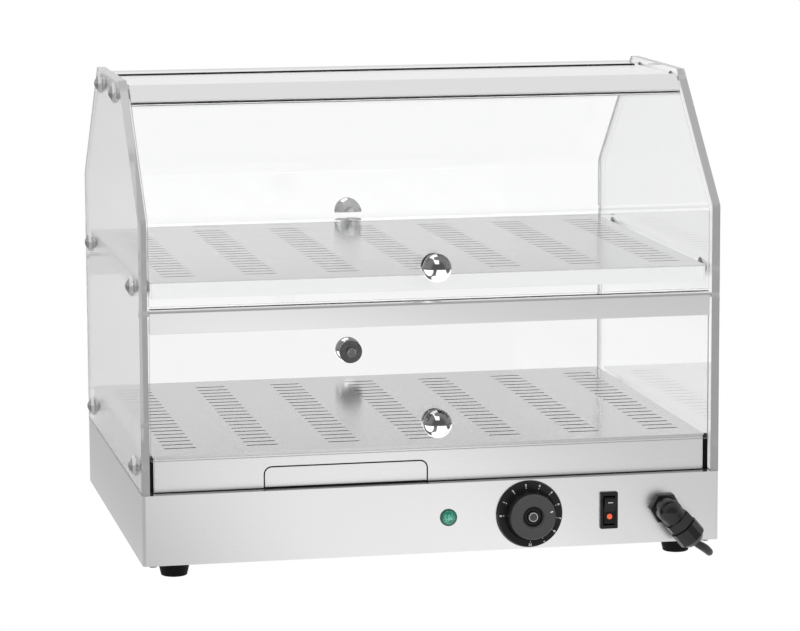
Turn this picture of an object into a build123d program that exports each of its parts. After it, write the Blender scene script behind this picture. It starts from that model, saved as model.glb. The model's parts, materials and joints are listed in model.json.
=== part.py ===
from build123d import *
import math
import os

os.makedirs("parts", exist_ok=True)

# Countertop heated display case: a steel base holds the heater and controls,
# two clear side panels carry a deck, a shelf and a roof, and four clear
# flap doors hang from pins in the panels, two in front and two behind.
# Millimetres. X is to the right, the front faces -Y, Z is up from the floor.

# Driving dimensions of the case
case_width = 500.0
base_depth = 384.0
base_height = 60.0
foot_height = 14.0
base_sheet = 1.0
base_corner_radius = 3.0
panel_thickness = 7.0
panel_setback = 2.0
panel_height = 338.0
bend_height = 230.5
top_depth = 152.0
panel_bend_radius = 6.0
panel_corner_radius = 2.0

# Levels above the base's top
deck_height = 31.5
shelf_height = 178.5
shelf_lip = 14.0
roof_drop = 5.0
roof_lip = 14.0
roof_sheet = 1.2
lower_pin_height = 153.0

# Deck, shelf and roof sheets
plate_thickness = 1.2
frame_wall = 1.2
frame_flange = 12.0
frame_side_gap = 3.5
frame_corner_radius = 2.0
slot_columns = 7
slot_rows = 19
slot_pitch_x = 70.5
slot_pitch_y = 16.5
slot_length = 27.0
slot_width = 3.0

# Doors
rail_thickness = 8.0
rail_height = 21.0
rail_socket_start = 5.0
rail_end_gap = 1.6
door_sheet = 4.0
door_bend_radius = 10.0
door_gap = 1.4
door_overlap = 3.5
door_clearance = 0.6
pin_radius = 2.2
pin_clearance = 0.05
pin_inner_length = 16.0
seat_gap = 0.02

# Door knobs
knob_drop_from_shelf = 7.5
lower_knob_height = 53.5
knob_ball_radius = 12.2
knob_flange_radius = 11.0
knob_flange_thickness = 1.6
knob_neck_radius = 6.5
knob_neck_length = 4.0
knob_screw_radius = 2.0
knob_screw_depth = 9.0
knob_head_radius = 4.2
knob_head_height = 2.4

# Fasteners of the side panels
screw_radius = 2.0
screw_head_radius = 6.0
screw_head_height = 4.4
screw_head_rim = 1.0
cup_radius = 9.0
cup_rim_radius = 6.6
cup_height = 3.0
spacer_radius = 5.5
nut_flats = 7.0
nut_height = 3.2
deck_screw_y = 149.0
deck_screw_z = 18.5
shelf_screw_y = 147.0
shelf_screw_drop = 7.0
roof_screw_y = 51.0
roof_screw_drop = 7.5

# Water drawer
drawer_centre_x = -74.7
drawer_width = 134.0
drawer_length = 240.0
drawer_depth = 13.0
drawer_sheet = 0.8
drawer_front_width = 139.5
drawer_front_height = 17.0
drawer_front_radius = 6.0
drawer_gap = 1.0
guide_height = 9.0
guide_foot = 8.0
guide_sheet = 1.0
slide_clearance = 0.1

# Controls on the base's front, measured from its right end and its bottom
control_height = 30.2
lamp_inset = 238.5
dial_inset = 168.0
switch_inset = 98.0
gland_inset = 48.5
lamp_hole_radius = 5.6
shaft_hole_radius = 5.0
gland_hole_radius = 8.2

# Derived places
base_bottom = foot_height
base_top = base_bottom + base_height
base_front = base_depth / 2
panel_front = base_front - panel_setback
panel_inner = case_width / 2 - panel_thickness
panel_top = base_top + panel_height
bend_level = base_top + bend_height
deck_top = base_top + deck_height
shelf_top = base_top + shelf_height
roof_top = panel_top - roof_drop
frame_half_width = panel_inner - frame_side_gap
door_line = panel_front - rail_thickness / 2
frame_half_depth = panel_front - rail_thickness - door_clearance
door_half_width = panel_inner - rail_end_gap
control_z = base_bottom + control_height
lamp_x = case_width / 2 - lamp_inset
dial_x = case_width / 2 - dial_inset
switch_x = case_width / 2 - switch_inset
gland_x = case_width / 2 - gland_inset

# The upper doors follow the panels' slope, so their pins lie on a line inside it
slope_run = panel_front - top_depth / 2
slope_rise = panel_top - bend_level
slope_length = math.hypot(slope_run, slope_rise)
slope_y = slope_run / slope_length
slope_z = slope_rise / slope_length
lower_pin_z = base_top + lower_pin_height
upper_pin_z = panel_top - rail_thickness
pin_drop = rail_thickness / 2 * slope_y
upper_pin_y = (
    top_depth / 2
    + (panel_top - upper_pin_z - pin_drop) * slope_run / slope_rise
    - rail_thickness / 2 * slope_z
)
rail_tail = rail_height - rail_thickness / 2
upper_door_bottom = lower_pin_z + rail_thickness / 2 + door_gap
lower_door_bottom = deck_top - door_overlap
bend_run = (door_line - upper_pin_y) / slope_y
bend_z = upper_pin_z - bend_run * slope_z
roof_half_depth = upper_pin_y - rail_thickness / 2 - door_clearance


def copies(piece, places):
    """One group of separate solids: the piece at each of the places."""
    with BuildPart() as group:
        with Locations(*places):
            add(piece)
    return group.part


def turned(points):
    """A revolved piece from its half outline in the XZ plane."""
    with BuildPart() as piece:
        with BuildSketch(Plane.XZ):
            with BuildLine():
                Polyline(*points, close=True)
            make_face()
        revolve(axis=Axis.Z)
    return piece.part


# Base housing: a folded steel box with lips round its open bottom
lip_width = 14.0
vent_rows = 14
vent_pitch = 18.0
vent_length = 70.0
vent_width = 4.0
switch_cut_width = 11.0
switch_cut_height = 27.0

with BuildPart() as base_housing:
    with BuildSketch(Plane.XY.offset(base_bottom)):
        RectangleRounded(case_width, base_depth, base_corner_radius)
    extrude(amount=base_height)
    with BuildSketch(Plane.XY.offset(base_bottom + base_sheet)):
        RectangleRounded(
            case_width - 2 * base_sheet,
            base_depth - 2 * base_sheet,
            base_corner_radius - base_sheet,
        )
    extrude(amount=base_height - 2 * base_sheet, mode=Mode.SUBTRACT)
    with BuildSketch(Plane.XY.offset(base_bottom)):
        Rectangle(case_width - 2 * lip_width, base_depth - 2 * lip_width)
    extrude(amount=base_sheet, mode=Mode.SUBTRACT)
    with BuildSketch(Plane.XY.offset(base_top - base_sheet)):
        with Locations((case_width / 5, 0)):
            with GridLocations(vent_length * 1.3, vent_pitch, 2, vent_rows):
                Rectangle(vent_length, vent_width)
    extrude(amount=base_sheet, mode=Mode.SUBTRACT)
    with BuildSketch(Plane.XZ.offset(base_front - base_sheet)):
        with Locations((lamp_x, control_z)):
            Circle(lamp_hole_radius)
        with Locations((dial_x, control_z)):
            Circle(shaft_hole_radius)
        with Locations((gland_x, control_z)):
            Circle(gland_hole_radius)
        with Locations((switch_x, control_z)):
            Rectangle(switch_cut_width, switch_cut_height)
    extrude(amount=base_sheet, mode=Mode.SUBTRACT)
base_housing.part.label = "base_housing"
export_step(base_housing.part, "parts/base_housing.step")

# Bottom plate, screwed up against the housing's lips
plate_margin = 5.0
plate_screw_radius = 1.5
plate_screw_x = case_width / 2 - (lip_width + plate_margin) / 2
plate_screw_y = base_depth / 2 - (lip_width + plate_margin) / 2
foot_inset_x = 30.0
foot_inset_y = 29.0
foot_x = case_width / 2 - foot_inset_x
foot_y = base_depth / 2 - foot_inset_y
foot_top_radius = 14.0
foot_bottom_radius = 11.0
foot_bore_radius = 2.4
foot_recess_radius = 6.0
foot_recess_depth = 7.0
plate_bottom = base_bottom - base_sheet
bottom_vent_length = 60.0

with BuildPart() as bottom_plate:
    with BuildSketch(Plane.XY.offset(plate_bottom)):
        Rectangle(case_width - 2 * plate_margin, base_depth - 2 * plate_margin)
        with GridLocations(2 * foot_x, 2 * foot_y, 2, 2):
            Circle(foot_bore_radius, mode=Mode.SUBTRACT)
        with GridLocations(2 * plate_screw_x, plate_screw_y, 2, 3):
            Circle(plate_screw_radius + seat_gap, mode=Mode.SUBTRACT)
        with GridLocations(bottom_vent_length * 1.4, vent_pitch, 3, 6):
            Rectangle(bottom_vent_length, vent_width, mode=Mode.SUBTRACT)
    extrude(amount=base_sheet)
bottom_plate.part.label = "bottom_plate"
export_step(bottom_plate.part, "parts/bottom_plate.step")

# Rubber feet, tapered, with the screw's head sunk in from below
with BuildPart() as foot:
    with BuildSketch(Plane.XY.offset(plate_bottom)) as foot_top:
        Circle(foot_top_radius)
    with BuildSketch(Plane.XY) as foot_sole:
        Circle(foot_bottom_radius)
    loft()
    fillet(foot.edges().sort_by(Axis.Z)[0], 1.0)
    with BuildSketch(Plane.XY):
        Circle(foot_recess_radius)
    extrude(amount=foot_recess_depth, mode=Mode.SUBTRACT)
    with BuildSketch(Plane.XY):
        Circle(foot_bore_radius)
    extrude(amount=plate_bottom, mode=Mode.SUBTRACT)
foot_places = [(x, y, 0) for x in (-foot_x, foot_x) for y in (-foot_y, foot_y)]
rubber_feet = copies(foot.part, foot_places)
rubber_feet.label = "rubber_feet"
export_step(rubber_feet, "parts/rubber_feet.step")

foot_screw_head = 4.5
foot_screw_head_height = 3.0
foot_screw_nut = 4.0
foot_screw_nut_height = 3.0
foot_shank_radius = foot_bore_radius - 0.2
with BuildPart() as foot_screw:
    with BuildSketch(Plane.XY.offset(foot_recess_depth - foot_screw_head_height)):
        Circle(foot_screw_head)
    extrude(amount=foot_screw_head_height)
    with BuildSketch(Plane.XY.offset(foot_recess_depth)):
        Circle(foot_shank_radius)
    extrude(amount=base_bottom + foot_screw_nut_height - foot_recess_depth)
    with BuildSketch(Plane.XY.offset(base_bottom)):
        RegularPolygon(foot_screw_nut, 6)
    extrude(amount=foot_screw_nut_height)
foot_screws = copies(foot_screw.part, foot_places)
foot_screws.label = "foot_screws"
export_step(foot_screws, "parts/foot_screws.step")

plate_screw_head = 3.0
plate_screw_head_height = 1.6
with BuildPart() as plate_screw:
    with BuildSketch(Plane.XY.offset(plate_bottom - plate_screw_head_height)):
        Circle(plate_screw_head)
    extrude(amount=plate_screw_head_height)
    with BuildSketch(Plane.XY.offset(plate_bottom)):
        Circle(plate_screw_radius)
    extrude(amount=base_sheet)
plate_screws = copies(
    plate_screw.part,
    [(x, y, 0) for x in (-plate_screw_x, plate_screw_x) for y in (-plate_screw_y, 0, plate_screw_y)],
)
plate_screws.label = "plate_screws"
export_step(plate_screws, "parts/plate_screws.step")


# Clear side panels, upright below the bend and leaning in above it
screw_places = (
    [(y, base_top + deck_screw_z) for y in (-deck_screw_y, deck_screw_y)]
    + [(y, shelf_top - shelf_screw_drop) for y in (-shelf_screw_y, shelf_screw_y)]
    + [(y, roof_top - roof_screw_drop) for y in (-roof_screw_y, roof_screw_y)]
)
pin_places = [(face * door_line, lower_pin_z) for face in (-1, 1)]
pin_places += [(face * upper_pin_y, upper_pin_z) for face in (-1, 1)]


def side_panel(inner_x):
    """A clear panel whose inner or outer face lies in the plane at inner_x."""
    with BuildPart() as panel:
        with BuildSketch(Plane.YZ.offset(inner_x)):
            with BuildLine():
                FilletPolyline(
                    (-panel_front, base_top),
                    (-panel_front, bend_level),
                    (-top_depth / 2, panel_top),
                    (top_depth / 2, panel_top),
                    (panel_front, bend_level),
                    (panel_front, base_top),
                    radius=[
                        panel_bend_radius,
                        panel_corner_radius,
                        panel_corner_radius,
                        panel_bend_radius,
                    ],
                )
                Line((panel_front, base_top), (-panel_front, base_top))
            make_face()
            with Locations(*screw_places):
                Circle(screw_radius + pin_clearance, mode=Mode.SUBTRACT)
            with Locations(*pin_places):
                Circle(pin_radius + pin_clearance, mode=Mode.SUBTRACT)
        extrude(amount=panel_thickness)
    return panel.part


side_panel_left = side_panel(-case_width / 2)
side_panel_left.label = "side_panel_left"
export_step(side_panel_left, "parts/side_panel_left.step")
side_panel_right = side_panel(panel_inner)
side_panel_right.label = "side_panel_right"
export_step(side_panel_right, "parts/side_panel_right.step")


# Slotted plates and the folded frames that carry them
def slotted_plate(top):
    """A flat sheet with columns of narrow slots, its upper face at top."""
    with BuildPart() as plate:
        with BuildSketch(Plane.XY.offset(top - plate_thickness)):
            Rectangle(2 * frame_half_width, 2 * frame_half_depth)
            with GridLocations(slot_pitch_x, slot_pitch_y, slot_columns, slot_rows):
                Rectangle(slot_length, slot_width, mode=Mode.SUBTRACT)
        extrude(amount=plate_thickness)
    return plate.part


def folded_frame(top, bottom, screw_y, screw_z, foot_flange):
    """A ring of folded sheet: walls, a flange under the plate and, for the deck, a foot."""
    height = top - bottom
    with BuildPart() as frame:
        with BuildSketch(Plane.XY.offset(bottom)):
            Rectangle(2 * frame_half_width, 2 * frame_half_depth)
        extrude(amount=height)
        fillet(frame.edges().filter_by(Axis.Z), frame_corner_radius)
        with BuildSketch(Plane.XY.offset(bottom)):
            Rectangle(
                2 * (frame_half_width - frame_flange),
                2 * (frame_half_depth - frame_flange),
            )
        extrude(amount=height, mode=Mode.SUBTRACT)
        foot_wall = frame_wall if foot_flange else 0
        with BuildSketch(Plane.XY.offset(bottom + foot_wall)):
            Rectangle(
                2 * (frame_half_width - frame_wall), 2 * (frame_half_depth - frame_wall)
            )
        extrude(amount=height - frame_wall - foot_wall, mode=Mode.SUBTRACT)
        with BuildSketch(Plane.YZ.offset(-frame_half_width)):
            with Locations(*[(side * screw_y, screw_z) for side in (-1, 1)]):
                Circle(screw_radius + pin_clearance)
        extrude(amount=2 * frame_half_width, mode=Mode.SUBTRACT)
    return frame


lower_deck = slotted_plate(deck_top)
lower_deck.label = "lower_deck"
export_step(lower_deck, "parts/lower_deck.step")
upper_shelf = slotted_plate(shelf_top)
upper_shelf.label = "upper_shelf"
export_step(upper_shelf, "parts/upper_shelf.step")

shelf_frame = folded_frame(
    shelf_top - plate_thickness,
    shelf_top - shelf_lip,
    shelf_screw_y,
    shelf_top - shelf_screw_drop,
    False,
)
shelf_frame.part.label = "shelf_frame"
export_step(shelf_frame.part, "parts/shelf_frame.step")

# The deck's frame stands on the base and has a notch for the drawer's front
drawer_front_bottom = base_top + guide_sheet + slide_clearance
notch_top = drawer_front_bottom + drawer_front_height + drawer_gap
with BuildPart() as deck_frame:
    add(
        folded_frame(
            deck_top - plate_thickness,
            base_top,
            deck_screw_y,
            base_top + deck_screw_z,
            True,
        ).part
    )
    with BuildSketch(Plane.XZ.offset(frame_half_depth - frame_flange)):
        with BuildLine():
            notch_half = drawer_front_width / 2 + drawer_gap
            FilletPolyline(
                (drawer_centre_x - notch_half, base_top),
                (drawer_centre_x - notch_half, notch_top),
                (drawer_centre_x + notch_half, notch_top),
                (drawer_centre_x + notch_half, base_top),
                radius=drawer_front_radius + drawer_gap,
            )
            Line(
                (drawer_centre_x + notch_half, base_top),
                (drawer_centre_x - notch_half, base_top),
            )
        make_face()
    extrude(amount=frame_flange, mode=Mode.SUBTRACT)
deck_frame.part.label = "deck_frame"
export_step(deck_frame.part, "parts/deck_frame.step")

# Roof sheet with folded edges and a long vent near its rear edge
vent_slot_y = 40.0
vent_slot_width = 7.0
vent_slot_margin = 6.0
with BuildPart() as roof_panel:
    with BuildSketch(Plane.XY.offset(roof_top - roof_lip)):
        Rectangle(2 * frame_half_width, 2 * roof_half_depth)
    extrude(amount=roof_lip)
    with BuildSketch(Plane.XY.offset(roof_top - roof_lip)):
        Rectangle(2 * (frame_half_width - roof_sheet), 2 * (roof_half_depth - roof_sheet))
    extrude(amount=roof_lip - roof_sheet, mode=Mode.SUBTRACT)
    with BuildSketch(Plane.XY.offset(roof_top - roof_sheet)):
        with Locations((0, vent_slot_y)):
            Rectangle(2 * (frame_half_width - vent_slot_margin), vent_slot_width)
    extrude(amount=roof_sheet, mode=Mode.SUBTRACT)
    with BuildSketch(Plane.YZ.offset(-frame_half_width)):
        with Locations(*[(side * roof_screw_y, roof_top - roof_screw_drop) for side in (-1, 1)]):
            Circle(screw_radius + pin_clearance)
    extrude(amount=2 * frame_half_width, mode=Mode.SUBTRACT)
roof_panel.part.label = "roof_panel"
export_step(roof_panel.part, "parts/roof_panel.step")

# Screws, cup washers, spacers and nuts that hold the frames and roof to the panels
screw_seat = cup_height * 0.5
screw_end = panel_thickness + frame_side_gap + frame_wall + nut_height
side_places = [
    Plane(origin=(side * case_width / 2, y, z), z_dir=(side, 0, 0)).location
    for side in (-1, 1)
    for y, z in screw_places
]
with BuildPart() as cup_washer:
    with BuildSketch(Plane.XZ):
        with BuildLine():
            Polyline(
                (screw_radius + pin_clearance, 0),
                (cup_radius, 0),
                (cup_radius, cup_height * 0.3),
                (cup_rim_radius + 0.4, cup_height),
                (cup_rim_radius, cup_height),
                (cup_rim_radius, screw_seat),
                (screw_radius + pin_clearance, screw_seat),
                close=True,
            )
        make_face()
    revolve(axis=Axis.Z)
cup_washers = copies(cup_washer.part, side_places)
cup_washers.label = "cup_washers"
export_step(cup_washers, "parts/cup_washers.step")

head_top = screw_seat + screw_head_height
dome_height = screw_head_height - screw_head_rim
dome_radius = (screw_head_radius**2 + dome_height**2) / (2 * dome_height)
dome_angle = math.asin(screw_head_radius / dome_radius) / 2
with BuildPart() as panel_screw:
    with BuildSketch(Plane.XZ):
        with BuildLine():
            Polyline(
                (0, head_top),
                (0, -screw_end),
                (screw_radius, -screw_end),
                (screw_radius, screw_seat),
                (screw_head_radius, screw_seat),
                (screw_head_radius, screw_seat + screw_head_rim),
            )
            ThreePointArc(
                (screw_head_radius, screw_seat + screw_head_rim),
                (
                    dome_radius * math.sin(dome_angle),
                    head_top - dome_radius * (1 - math.cos(dome_angle)),
                ),
                (0, head_top),
            )
        make_face()
    revolve(axis=Axis.Z)
panel_screws = copies(panel_screw.part, side_places)
panel_screws.label = "panel_screws"
export_step(panel_screws, "parts/panel_screws.step")

with BuildPart() as spacer:
    with BuildSketch(Plane.XY.offset(-panel_thickness - frame_side_gap)):
        Circle(spacer_radius)
        Circle(screw_radius + pin_clearance, mode=Mode.SUBTRACT)
    extrude(amount=frame_side_gap)
panel_spacers = copies(spacer.part, side_places)
panel_spacers.label = "panel_spacers"
export_step(panel_spacers, "parts/panel_spacers.step")

with BuildPart() as nut:
    with BuildSketch(Plane.XY.offset(-screw_end)):
        RegularPolygon(nut_flats / 2, 6, major_radius=False)
        Circle(screw_radius + seat_gap, mode=Mode.SUBTRACT)
    extrude(amount=nut_height)
panel_nuts = copies(nut.part, side_places)
panel_nuts.label = "panel_nuts"
export_step(panel_nuts, "parts/panel_nuts.step")


# Doors: a clear sheet in a round-topped rail that turns on two pins
def door_frame(face, upper):
    """The rail's own plane: X down the door from the pin, extruded along the case's width."""
    pin_y, pin_z = (upper_pin_y, upper_pin_z) if upper else (door_line, lower_pin_z)
    down = (0, face * slope_y, -slope_z) if upper else (0, 0, -1)
    return Plane(
        origin=(-door_half_width, face * pin_y, pin_z), x_dir=down, z_dir=(1, 0, 0)
    )


def door_rail(face, upper):
    half = rail_thickness / 2
    with BuildPart() as rail:
        with BuildSketch(door_frame(face, upper)):
            with BuildLine():
                Polyline((0, half), (rail_tail, half), (rail_tail, -half), (0, -half))
                ThreePointArc((0, -half), (-half, 0), (0, half))
            make_face()
            Circle(pin_radius + seat_gap, mode=Mode.SUBTRACT)
            with Locations(((rail_socket_start + rail_tail) / 2, 0)):
                Rectangle(
                    rail_tail - rail_socket_start, door_sheet, mode=Mode.SUBTRACT
                )
        extrude(amount=2 * door_half_width)
    return rail.part


def door_glass(face, upper, knob_z):
    half = door_sheet / 2
    with BuildPart() as glass:
        if upper:
            start_y = upper_pin_y + rail_socket_start * slope_y
            start_z = upper_pin_z - rail_socket_start * slope_z
            with BuildSketch(Plane.YZ.offset(-door_half_width)):
                with BuildLine() as middle:
                    FilletPolyline(
                        (face * start_y, start_z),
                        (face * door_line, bend_z),
                        (face * door_line, upper_door_bottom),
                        radius=door_bend_radius,
                    )
                trace(middle.line, line_width=door_sheet)
            extrude(amount=2 * door_half_width)
        else:
            top = lower_pin_z - rail_socket_start
            with BuildSketch(Plane.YZ.offset(-door_half_width)):
                with Locations((face * door_line, (top + lower_door_bottom) / 2)):
                    Rectangle(door_sheet, top - lower_door_bottom)
            extrude(amount=2 * door_half_width)
        with BuildSketch(Plane.XZ.offset(-face * door_line - half)):
            with Locations((0, knob_z)):
                Circle(knob_screw_radius + pin_clearance)
        extrude(amount=door_sheet, mode=Mode.SUBTRACT)
    return glass.part


def door_pins(face, upper):
    reach = panel_thickness + rail_end_gap
    length = pin_inner_length + reach
    plane = door_frame(face, upper)
    ends = [
        Plane(origin=plane.origin - Vector(reach, 0, 0), z_dir=(1, 0, 0)).location,
        Plane(
            origin=plane.origin + Vector(2 * door_half_width - pin_inner_length, 0, 0),
            z_dir=(1, 0, 0),
        ).location,
    ]
    with BuildPart() as pin:
        with BuildSketch():
            Circle(pin_radius)
        extrude(amount=length)
        chamfer(pin.edges(), 0.4)
    return copies(pin.part, ends)


def door_knob(face, knob_z):
    """A round chrome knob on a flange, its axis along Y, with a blind hole for its screw."""
    seat = Plane(origin=(0, face * (door_line + door_sheet / 2), knob_z), z_dir=(0, face, 0))
    ball_centre = knob_flange_thickness + knob_neck_length + knob_ball_radius * 0.72
    neck_top = ball_centre - math.sqrt(knob_ball_radius**2 - knob_neck_radius**2)
    with BuildPart() as knob:
        with BuildSketch(Plane.XZ):
            with BuildLine():
                Polyline(
                    (0, ball_centre + knob_ball_radius),
                    (0, 0),
                    (knob_flange_radius, 0),
                    (knob_flange_radius, knob_flange_thickness),
                    (knob_neck_radius, knob_flange_thickness),
                    (knob_neck_radius, neck_top),
                )
                ThreePointArc(
                    (knob_neck_radius, neck_top),
                    (knob_ball_radius, ball_centre),
                    (0, ball_centre + knob_ball_radius),
                )
            make_face()
        revolve(axis=Axis.Z)
        with BuildSketch():
            Circle(knob_screw_radius + seat_gap)
        extrude(amount=knob_screw_depth, mode=Mode.SUBTRACT)
    return knob.part.moved(seat.location)


def knob_screw(face, knob_z):
    """The screw that holds a knob, its head on the door's inner face."""
    seat = Plane(origin=(0, face * (door_line - door_sheet / 2), knob_z), z_dir=(0, face, 0))
    with BuildPart() as screw:
        with BuildSketch(Plane.XY.offset(-knob_head_height)):
            Circle(knob_head_radius)
        extrude(amount=knob_head_height)
        fillet(screw.edges().sort_by(Axis.Z)[0], 1.0)
        with BuildSketch():
            Circle(knob_screw_radius)
        extrude(amount=door_sheet + knob_screw_depth - 1.0)
    return screw.part.moved(seat.location)


upper_knob_z = shelf_top + knob_drop_from_shelf
lower_knob_z = base_top + lower_knob_height
for face, side in ((-1, "front"), (1, "rear")):
    for upper, level in ((True, "upper"), (False, "lower")):
        knob_z = upper_knob_z if upper else lower_knob_z
        pieces = {
            "rail": door_rail(face, upper),
            "door": door_glass(face, upper, knob_z),
            "pins": door_pins(face, upper),
            "knob": door_knob(face, knob_z),
            "knob_screw": knob_screw(face, knob_z),
        }
        for kind, piece in pieces.items():
            name = f"{level}_{side}_{kind}"
            piece.label = name
            export_step(piece, f"parts/{name}.step")

# Water drawer: a shallow tray with a front that fills the deck frame's notch
drawer_bottom = base_top + guide_sheet + slide_clearance
drawer_back = -frame_half_depth + frame_wall + drawer_length
with BuildPart() as drawer_tray:
    with BuildSketch(Plane.XY.offset(drawer_bottom)):
        with Locations((drawer_centre_x, drawer_back - drawer_length / 2)):
            Rectangle(drawer_width, drawer_length)
    extrude(amount=drawer_depth)
    with BuildSketch(Plane.XY.offset(drawer_bottom + drawer_sheet)):
        with Locations((drawer_centre_x, drawer_back - drawer_length / 2)):
            Rectangle(drawer_width - 2 * drawer_sheet, drawer_length - 2 * drawer_sheet)
    extrude(amount=drawer_depth - drawer_sheet, mode=Mode.SUBTRACT)
drawer_tray.part.label = "drawer_tray"
export_step(drawer_tray.part, "parts/drawer_tray.step")

with BuildPart() as drawer_front:
    with BuildSketch(Plane.XZ.offset(frame_half_depth - frame_wall)):
        with BuildLine():
            front_half = drawer_front_width / 2
            front_top = drawer_front_bottom + drawer_front_height
            FilletPolyline(
                (drawer_centre_x - front_half, drawer_front_bottom),
                (drawer_centre_x - front_half, front_top),
                (drawer_centre_x + front_half, front_top),
                (drawer_centre_x + front_half, drawer_front_bottom),
                radius=drawer_front_radius,
            )
            Line(
                (drawer_centre_x + front_half, drawer_front_bottom),
                (drawer_centre_x - front_half, drawer_front_bottom),
            )
        make_face()
    extrude(amount=frame_wall)
drawer_front.part.label = "drawer_front"
export_step(drawer_front.part, "parts/drawer_front.step")

guide_half = drawer_width / 2 + slide_clearance * 5
with BuildPart() as drawer_guides:
    for side in (-1, 1):
        foot_x0 = drawer_centre_x + side * (guide_half + guide_sheet - guide_foot / 2)
        wall_x0 = drawer_centre_x + side * (guide_half + guide_sheet / 2)
        guide_y = -frame_half_depth + frame_flange + drawer_length / 2
        with BuildSketch(Plane.XY.offset(base_top)):
            with Locations((foot_x0, guide_y)):
                Rectangle(guide_foot, drawer_length)
        extrude(amount=guide_sheet)
        with BuildSketch(Plane.XY.offset(base_top)):
            with Locations((wall_x0, guide_y)):
                Rectangle(guide_sheet, drawer_length)
        extrude(amount=guide_height)
drawer_guides.part.label = "drawer_guides"
export_step(drawer_guides.part, "parts/drawer_guides.step")


# Controls: each is made with its axis along Z, then set on the base's front face
def on_front(x):
    return Plane(origin=(x, -base_front, control_z), x_dir=(1, 0, 0), z_dir=(0, -1, 0)).location


def place_on_front(piece, x, name):
    placed = piece.moved(on_front(x))
    placed.label = name
    export_step(placed, f"parts/{name}.step")


lamp_rim_radius = 7.4
lamp_lens_radius = 6.2
lamp_rim_height = 1.6
lamp_lens_height = 3.4
lamp_body_length = 24.0
place_on_front(
    turned(
        [
            (lamp_lens_radius, 0.0),
            (lamp_rim_radius, 0.0),
            (lamp_rim_radius, lamp_rim_height * 0.5),
            (lamp_lens_radius + 0.5, lamp_rim_height),
            (lamp_lens_radius, lamp_rim_height),
        ]
    ),
    lamp_x,
    "lamp_bezel",
)
place_on_front(
    turned(
        [
            (0, 0),
            (lamp_lens_radius - seat_gap, 0),
            (lamp_lens_radius - seat_gap, lamp_rim_height),
            (lamp_lens_radius * 0.45, lamp_lens_height),
            (0, lamp_lens_height),
        ]
    ),
    lamp_x,
    "lamp_lens",
)
place_on_front(
    turned(
        [
            (0, 0),
            (lamp_hole_radius - seat_gap, 0),
            (lamp_hole_radius - seat_gap, -lamp_body_length),
            (0, -lamp_body_length),
        ]
    ),
    lamp_x,
    "lamp_body",
)

# Thermostat: a numbered skirt and grip in one knob, on the shaft of a body inside
skirt_radius = 29.0
skirt_height = 3.6
skirt_gap = 1.2
grip_base_radius = 22.2
grip_radius = 19.4
grip_chamfer = 1.2
grip_height = 17.0
recess_radius = 9.6
recess_depth = 4.0
hub_radius = 5.0
shaft_radius = 3.0
shaft_reach = 12.0
shaft_clearance = 0.06
with BuildPart() as knob_body:
    with BuildSketch(Plane.XZ):
        with BuildLine():
            Polyline(
                (shaft_radius + shaft_clearance, skirt_gap),
                (skirt_radius, skirt_gap),
                (skirt_radius - 1.2, skirt_gap + skirt_height),
                (grip_base_radius, skirt_gap + skirt_height - 0.6),
                (grip_radius, grip_height - grip_chamfer),
                (grip_radius - grip_chamfer, grip_height),
                (recess_radius, grip_height),
                (recess_radius - 2.2, grip_height - recess_depth),
                (hub_radius, grip_height - recess_depth),
                (hub_radius - 0.6, grip_height - 1.4),
                (0, grip_height - 1.4),
                (0, shaft_reach + skirt_gap),
                (shaft_radius + shaft_clearance, shaft_reach + skirt_gap),
                close=True,
            )
        make_face()
    revolve(axis=Axis.Z)
place_on_front(knob_body.part, dial_x, "thermostat_knob")

thermostat_width = 34.0
thermostat_height = 40.0
thermostat_depth = 30.0
with BuildPart() as thermostat_body:
    with BuildSketch(Plane.XY.offset(-base_sheet - thermostat_depth)):
        RectangleRounded(thermostat_width, thermostat_height, 3.0)
    extrude(amount=thermostat_depth)
    with BuildSketch(Plane.XY.offset(-base_sheet)):
        Circle(shaft_hole_radius - 0.3)
    extrude(amount=base_sheet)
    with BuildSketch(Plane.XY):
        Circle(shaft_radius)
    extrude(amount=shaft_reach)
place_on_front(thermostat_body.part, dial_x, "thermostat_body")

# Rocker switch: a framed body and a rocker with round ends about its pivot
bezel_width = 15.5
bezel_height = 32.0
bezel_depth = 2.6
rocker_width = 9.6
rocker_radius = 12.4
rocker_gap = 0.4
rocker_tilt = 8.0
rocker_pivot = -1.5
switch_body_depth = 22.0
rocker_axis = Plane(
    origin=(-rocker_width / 2, 0, rocker_pivot), x_dir=(0, 1, 0), z_dir=(1, 0, 0)
)
with BuildPart() as switch_body:
    with BuildSketch():
        RectangleRounded(bezel_width, bezel_height, 1.2)
    extrude(amount=bezel_depth)
    fillet(switch_body.faces().sort_by(Axis.Z)[-1].edges(), 0.7)
    with BuildSketch(Plane.XY.offset(-switch_body_depth)):
        Rectangle(switch_cut_width - 2 * seat_gap, switch_cut_height - 2 * seat_gap)
    extrude(amount=switch_body_depth)
    with BuildSketch(Plane.XY.offset(rocker_pivot - rocker_radius - 1.0)):
        Rectangle(rocker_width + 2 * rocker_gap, 2 * (rocker_radius + rocker_gap))
    extrude(amount=rocker_radius + bezel_depth - rocker_pivot + 1.0, mode=Mode.SUBTRACT)
place_on_front(switch_body.part, switch_x, "switch_body")

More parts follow.
